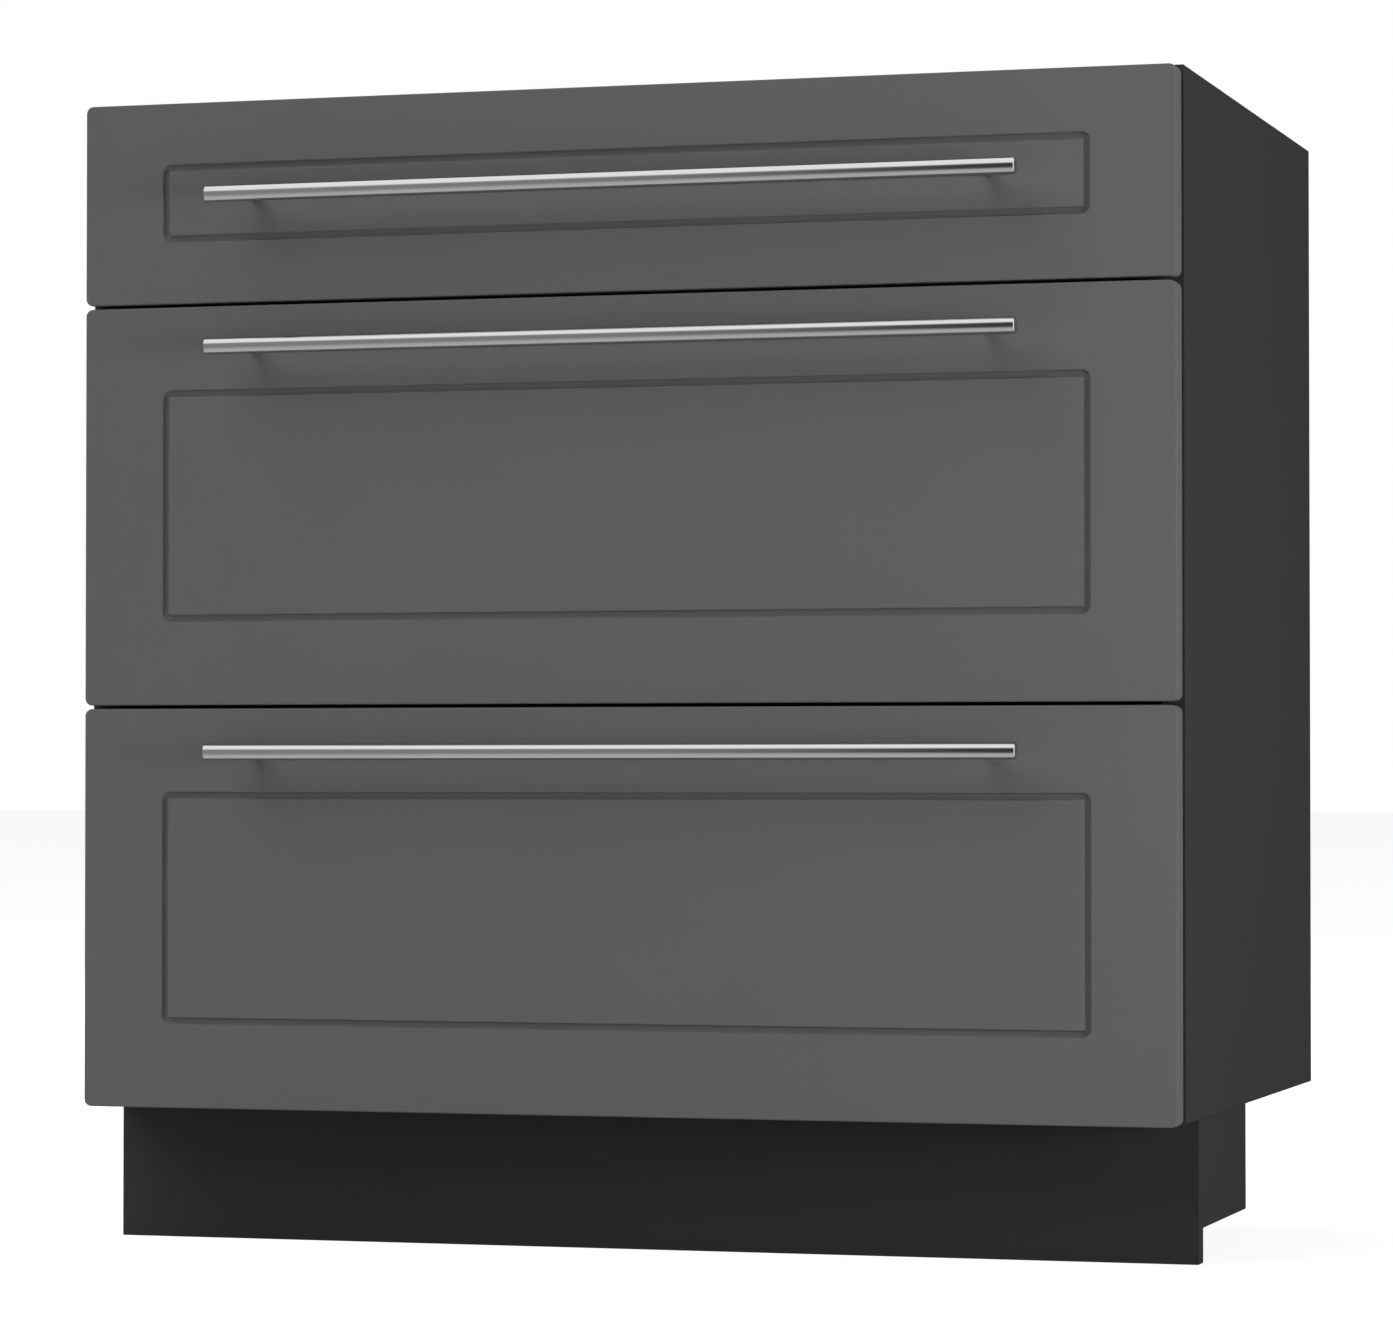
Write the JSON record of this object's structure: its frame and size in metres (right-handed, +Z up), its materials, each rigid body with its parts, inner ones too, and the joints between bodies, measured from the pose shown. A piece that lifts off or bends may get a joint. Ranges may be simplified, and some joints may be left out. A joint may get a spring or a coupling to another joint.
{
  "type": "base cabinet with drawers",
  "caption": "Freestanding kitchen base cabinet with wide drawers, grooved grey fronts, steel bar handles, a dark carcass and a recessed plinth.",
  "frame": {"origin": "on the floor under the middle of the outline box, handles included", "axes": "+X to the right seen from the front, +Y from the front to the back, +Z up; the drawers open along -Y"},
  "size_m": [0.8, 0.555, 0.819],
  "materials": {
    "front_foil": "matt warm grey foil on milled fibreboard",
    "carcass_foil": "matt graphite melamine on chipboard",
    "plinth_foil": "matt graphite foil on chipboard",
    "back_foil": "thin fibreboard back, grey print",
    "drawer_foil": "light grey melamine on chipboard",
    "drawer_side_steel": "powder-coated steel, silver grey",
    "runner_steel": "zinc-plated steel",
    "handle_steel": "brushed stainless steel",
    "black_plastic": "black moulded plastic"
  },
  "bodies": {
    "cabinet": {"side_panel_left": "carcass_foil", "side_panel_right": "carcass_foil", "bottom_panel": "carcass_foil", "front_rail": "carcass_foil", "rear_rail": "carcass_foil", "back_panel": "back_foil", "plinth_front": "plinth_foil", "plinth_return_left": "plinth_foil", "plinth_return_right": "plinth_foil", "leg_sleeve_front_left": "black_plastic", "leg_foot_front_left": "black_plastic", "leg_sleeve_front_right": "black_plastic", "leg_foot_front_right": "black_plastic", "leg_sleeve_rear_left": "black_plastic", "leg_foot_rear_left": "black_plastic", "leg_sleeve_rear_right": "black_plastic", "leg_foot_rear_right": "black_plastic", "plinth_clip_left": "black_plastic", "plinth_clip_right": "black_plastic", "bottom_runner_left_cabinet_member": "runner_steel", "bottom_runner_right_cabinet_member": "runner_steel", "middle_runner_left_cabinet_member": "runner_steel", "middle_runner_right_cabinet_member": "runner_steel", "top_runner_left_cabinet_member": "runner_steel", "top_runner_right_cabinet_member": "runner_steel"},
    "bottom_drawer": {"bottom_drawer_front": "front_foil", "bottom_drawer_side_left": "drawer_side_steel", "bottom_drawer_side_right": "drawer_side_steel", "bottom_drawer_bottom": "drawer_foil", "bottom_drawer_back": "drawer_foil", "bottom_drawer_rail_left": "drawer_side_steel", "bottom_drawer_rail_right": "drawer_side_steel", "bottom_handle_bar": "handle_steel", "bottom_handle_post_left": "handle_steel", "bottom_handle_post_right": "handle_steel"},
    "bottom_runner_slides": {"bottom_runner_left_middle_member": "runner_steel", "bottom_runner_right_middle_member": "runner_steel"},
    "middle_drawer": {"middle_drawer_front": "front_foil", "middle_drawer_side_left": "drawer_side_steel", "middle_drawer_side_right": "drawer_side_steel", "middle_drawer_bottom": "drawer_foil", "middle_drawer_back": "drawer_foil", "middle_drawer_rail_left": "drawer_side_steel", "middle_drawer_rail_right": "drawer_side_steel", "middle_handle_bar": "handle_steel", "middle_handle_post_left": "handle_steel", "middle_handle_post_right": "handle_steel"},
    "middle_runner_slides": {"middle_runner_left_middle_member": "runner_steel", "middle_runner_right_middle_member": "runner_steel"},
    "top_drawer": {"top_drawer_front": "front_foil", "top_drawer_side_left": "drawer_side_steel", "top_drawer_side_right": "drawer_side_steel", "top_drawer_bottom": "drawer_foil", "top_drawer_back": "drawer_foil", "top_handle_bar": "handle_steel", "top_handle_post_left": "handle_steel", "top_handle_post_right": "handle_steel"},
    "top_runner_slides": {"top_runner_left_middle_member": "runner_steel", "top_runner_right_middle_member": "runner_steel"}
  },
  "joints": [
    {"name": "bottom_drawer_slide", "type": "slide", "parent": "cabinet", "child": "bottom_drawer", "axis": [0, -1, 0], "range_m": [0, 0.45]},
    {"name": "bottom_runner_extension", "type": "slide", "parent": "cabinet", "child": "bottom_runner_slides", "axis": [0, -1, 0], "range_m": [0, 0.225]},
    {"name": "middle_drawer_slide", "type": "slide", "parent": "cabinet", "child": "middle_drawer", "axis": [0, -1, 0], "range_m": [0, 0.45]},
    {"name": "middle_runner_extension", "type": "slide", "parent": "cabinet", "child": "middle_runner_slides", "axis": [0, -1, 0], "range_m": [0, 0.225]},
    {"name": "top_drawer_slide", "type": "slide", "parent": "cabinet", "child": "top_drawer", "axis": [0, -1, 0], "range_m": [0, 0.45]},
    {"name": "top_runner_extension", "type": "slide", "parent": "cabinet", "child": "top_runner_slides", "axis": [0, -1, 0], "range_m": [0, 0.225]}
  ],
  "couplings": [
    {"joint": "bottom_runner_extension", "follows": "bottom_drawer_slide", "ratio": 0.5},
    {"joint": "middle_runner_extension", "follows": "middle_drawer_slide", "ratio": 0.5},
    {"joint": "top_runner_extension", "follows": "top_drawer_slide", "ratio": 0.5}
  ]
}
